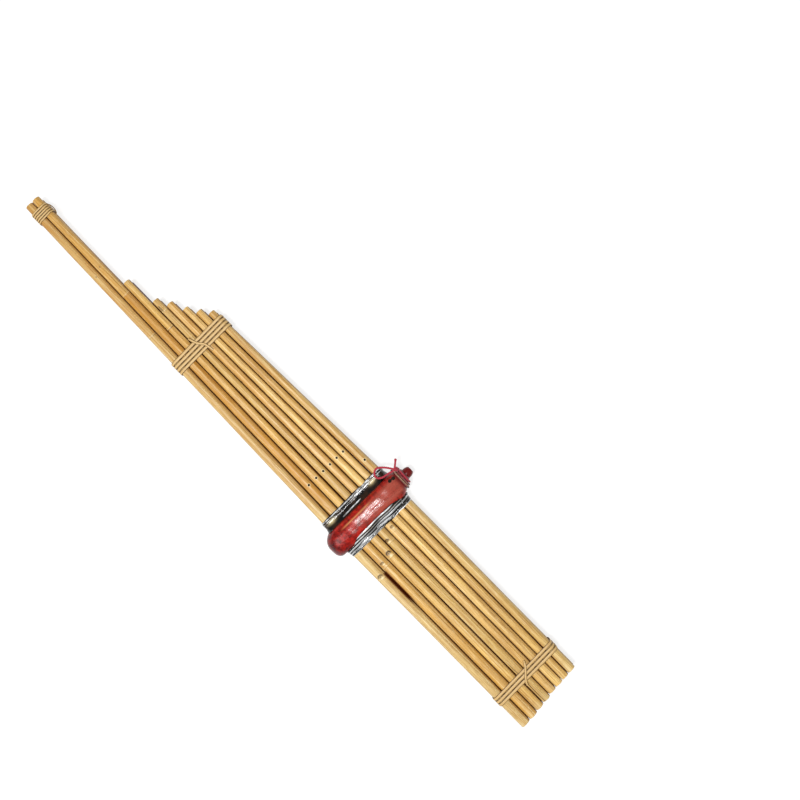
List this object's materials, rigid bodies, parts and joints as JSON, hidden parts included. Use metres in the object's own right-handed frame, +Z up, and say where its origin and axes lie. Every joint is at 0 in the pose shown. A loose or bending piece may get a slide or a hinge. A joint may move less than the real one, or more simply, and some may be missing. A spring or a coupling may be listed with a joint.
{
  "type": "khene mouth organ",
  "caption": "Bamboo mouth organ: two rows of reed pipes through a carved red wooden wind chest, sealed with black wax and bound with split cane.",
  "frame": {"origin": "centre of the flattened back of the wind chest, on which the instrument rests", "axes": "+X towards the mouth end, +Y along the pipes towards their tops, +Z up, away from the rest face; the left row of pipes faces up"},
  "size_m": [0.1191, 0.7507, 0.0465],
  "materials": {
    "bamboo": "scraped bamboo, satin",
    "lacquered_wood": "red lacquered hardwood, glossy",
    "black_wax": "hand-pressed black insect wax, glossy",
    "split_cane": "split cane, satin",
    "red_cord": "thin twisted cord",
    "reed_metal": "hammered metal, scraped"
  },
  "bodies": {
    "khene": {"wind_chest": "lacquered_wood", "upper_wax": "black_wax", "lower_wax": "black_wax", "top_binding": "split_cane", "middle_binding": "split_cane", "middle_binding_tuck": "split_cane", "foot_binding": "split_cane", "foot_binding_tuck": "split_cane", "neck_cord": "red_cord", "cord_bow": "red_cord", "left_pipe_1": "bamboo", "left_reed_plate_1": "reed_metal", "left_pipe_2": "bamboo", "left_reed_plate_2": "reed_metal", "left_pipe_3": "bamboo", "left_reed_plate_3": "reed_metal", "left_pipe_4": "bamboo", "left_reed_plate_4": "reed_metal", "left_pipe_5": "bamboo", "left_reed_plate_5": "reed_metal", "left_pipe_6": "bamboo", "left_reed_plate_6": "reed_metal", "left_pipe_7": "bamboo", "left_reed_plate_7": "reed_metal", "left_pipe_8": "bamboo", "left_reed_plate_8": "reed_metal", "right_pipe_1": "bamboo", "right_reed_plate_1": "reed_metal", "right_pipe_2": "bamboo", "right_reed_plate_2": "reed_metal", "right_pipe_3": "bamboo", "right_reed_plate_3": "reed_metal", "right_pipe_4": "bamboo", "right_reed_plate_4": "reed_metal", "right_pipe_5": "bamboo", "right_reed_plate_5": "reed_metal", "right_pipe_6": "bamboo", "right_reed_plate_6": "reed_metal", "right_pipe_7": "bamboo", "right_reed_plate_7": "reed_metal", "right_pipe_8": "bamboo", "right_reed_plate_8": "reed_metal"},
    "left_reed_tongue_1": {"left_reed_tongue_1": "reed_metal"},
    "left_reed_tongue_2": {"left_reed_tongue_2": "reed_metal"},
    "left_reed_tongue_3": {"left_reed_tongue_3": "reed_metal"},
    "left_reed_tongue_4": {"left_reed_tongue_4": "reed_metal"},
    "left_reed_tongue_5": {"left_reed_tongue_5": "reed_metal"},
    "left_reed_tongue_6": {"left_reed_tongue_6": "reed_metal"},
    "left_reed_tongue_7": {"left_reed_tongue_7": "reed_metal"},
    "left_reed_tongue_8": {"left_reed_tongue_8": "reed_metal"},
    "right_reed_tongue_1": {"right_reed_tongue_1": "reed_metal"},
    "right_reed_tongue_2": {"right_reed_tongue_2": "reed_metal"},
    "right_reed_tongue_3": {"right_reed_tongue_3": "reed_metal"},
    "right_reed_tongue_4": {"right_reed_tongue_4": "reed_metal"},
    "right_reed_tongue_5": {"right_reed_tongue_5": "reed_metal"},
    "right_reed_tongue_6": {"right_reed_tongue_6": "reed_metal"},
    "right_reed_tongue_7": {"right_reed_tongue_7": "reed_metal"},
    "right_reed_tongue_8": {"right_reed_tongue_8": "reed_metal"}
  },
  "joints": [
    {"name": "left_tongue_1_swing", "type": "hinge", "parent": "khene", "child": "left_reed_tongue_1", "pos_m": [0.03695, 0.0045, 0.03255], "axis": [1, 0, 0], "range_deg": [-4, 4], "stiffness_Nm_per_rad": 0.004},
    {"name": "left_tongue_2_swing", "type": "hinge", "parent": "khene", "child": "left_reed_tongue_2", "pos_m": [0.0271, 0.00479, 0.03165], "axis": [1, 0, 0], "range_deg": [-4, 4], "stiffness_Nm_per_rad": 0.004},
    {"name": "left_tongue_3_swing", "type": "hinge", "parent": "khene", "child": "left_reed_tongue_3", "pos_m": [0.01735, 0.00507, 0.03235], "axis": [1, 0, 0], "range_deg": [-4, 4], "stiffness_Nm_per_rad": 0.004},
    {"name": "left_tongue_4_swing", "type": "hinge", "parent": "khene", "child": "left_reed_tongue_4", "pos_m": [0.0073, 0.00536, 0.03225], "axis": [1, 0, 0], "range_deg": [-4, 4], "stiffness_Nm_per_rad": 0.004},
    {"name": "left_tongue_5_swing", "type": "hinge", "parent": "khene", "child": "left_reed_tongue_5", "pos_m": [-0.003, 0.00564, 0.03285], "axis": [1, 0, 0], "range_deg": [-4, 4], "stiffness_Nm_per_rad": 0.004},
    {"name": "left_tongue_6_swing", "type": "hinge", "parent": "khene", "child": "left_reed_tongue_6", "pos_m": [-0.0137, 0.00593, 0.03305], "axis": [1, 0, 0], "range_deg": [-4, 4], "stiffness_Nm_per_rad": 0.004},
    {"name": "left_tongue_7_swing", "type": "hinge", "parent": "khene", "child": "left_reed_tongue_7", "pos_m": [-0.02475, 0.00621, 0.03355], "axis": [1, 0, 0], "range_deg": [-4, 4], "stiffness_Nm_per_rad": 0.004},
    {"name": "left_tongue_8_swing", "type": "hinge", "parent": "khene", "child": "left_reed_tongue_8", "pos_m": [-0.03625, 0.0065, 0.03395], "axis": [1, 0, 0], "range_deg": [-4, 4], "stiffness_Nm_per_rad": 0.004},
    {"name": "right_tongue_1_swing", "type": "hinge", "parent": "khene", "child": "right_reed_tongue_1", "pos_m": [0.03695, 0.0045, 0.01345], "axis": [1, 0, 0], "range_deg": [-4, 4], "stiffness_Nm_per_rad": 0.004},
    {"name": "right_tongue_2_swing", "type": "hinge", "parent": "khene", "child": "right_reed_tongue_2", "pos_m": [0.0271, 0.00479, 0.01435], "axis": [1, 0, 0], "range_deg": [-4, 4], "stiffness_Nm_per_rad": 0.004},
    {"name": "right_tongue_3_swing", "type": "hinge", "parent": "khene", "child": "right_reed_tongue_3", "pos_m": [0.01735, 0.00507, 0.01365], "axis": [1, 0, 0], "range_deg": [-4, 4], "stiffness_Nm_per_rad": 0.004},
    {"name": "right_tongue_4_swing", "type": "hinge", "parent": "khene", "child": "right_reed_tongue_4", "pos_m": [0.0073, 0.00536, 0.01375], "axis": [1, 0, 0], "range_deg": [-4, 4], "stiffness_Nm_per_rad": 0.004},
    {"name": "right_tongue_5_swing", "type": "hinge", "parent": "khene", "child": "right_reed_tongue_5", "pos_m": [-0.003, 0.00564, 0.01315], "axis": [1, 0, 0], "range_deg": [-4, 4], "stiffness_Nm_per_rad": 0.004},
    {"name": "right_tongue_6_swing", "type": "hinge", "parent": "khene", "child": "right_reed_tongue_6", "pos_m": [-0.0137, 0.00593, 0.01295], "axis": [1, 0, 0], "range_deg": [-4, 4], "stiffness_Nm_per_rad": 0.004},
    {"name": "right_tongue_7_swing", "type": "hinge", "parent": "khene", "child": "right_reed_tongue_7", "pos_m": [-0.02475, 0.00621, 0.01245], "axis": [1, 0, 0], "range_deg": [-4, 4], "stiffness_Nm_per_rad": 0.004},
    {"name": "right_tongue_8_swing", "type": "hinge", "parent": "khene", "child": "right_reed_tongue_8", "pos_m": [-0.03625, 0.0065, 0.01205], "axis": [1, 0, 0], "range_deg": [-4, 4], "stiffness_Nm_per_rad": 0.004}
  ]
}
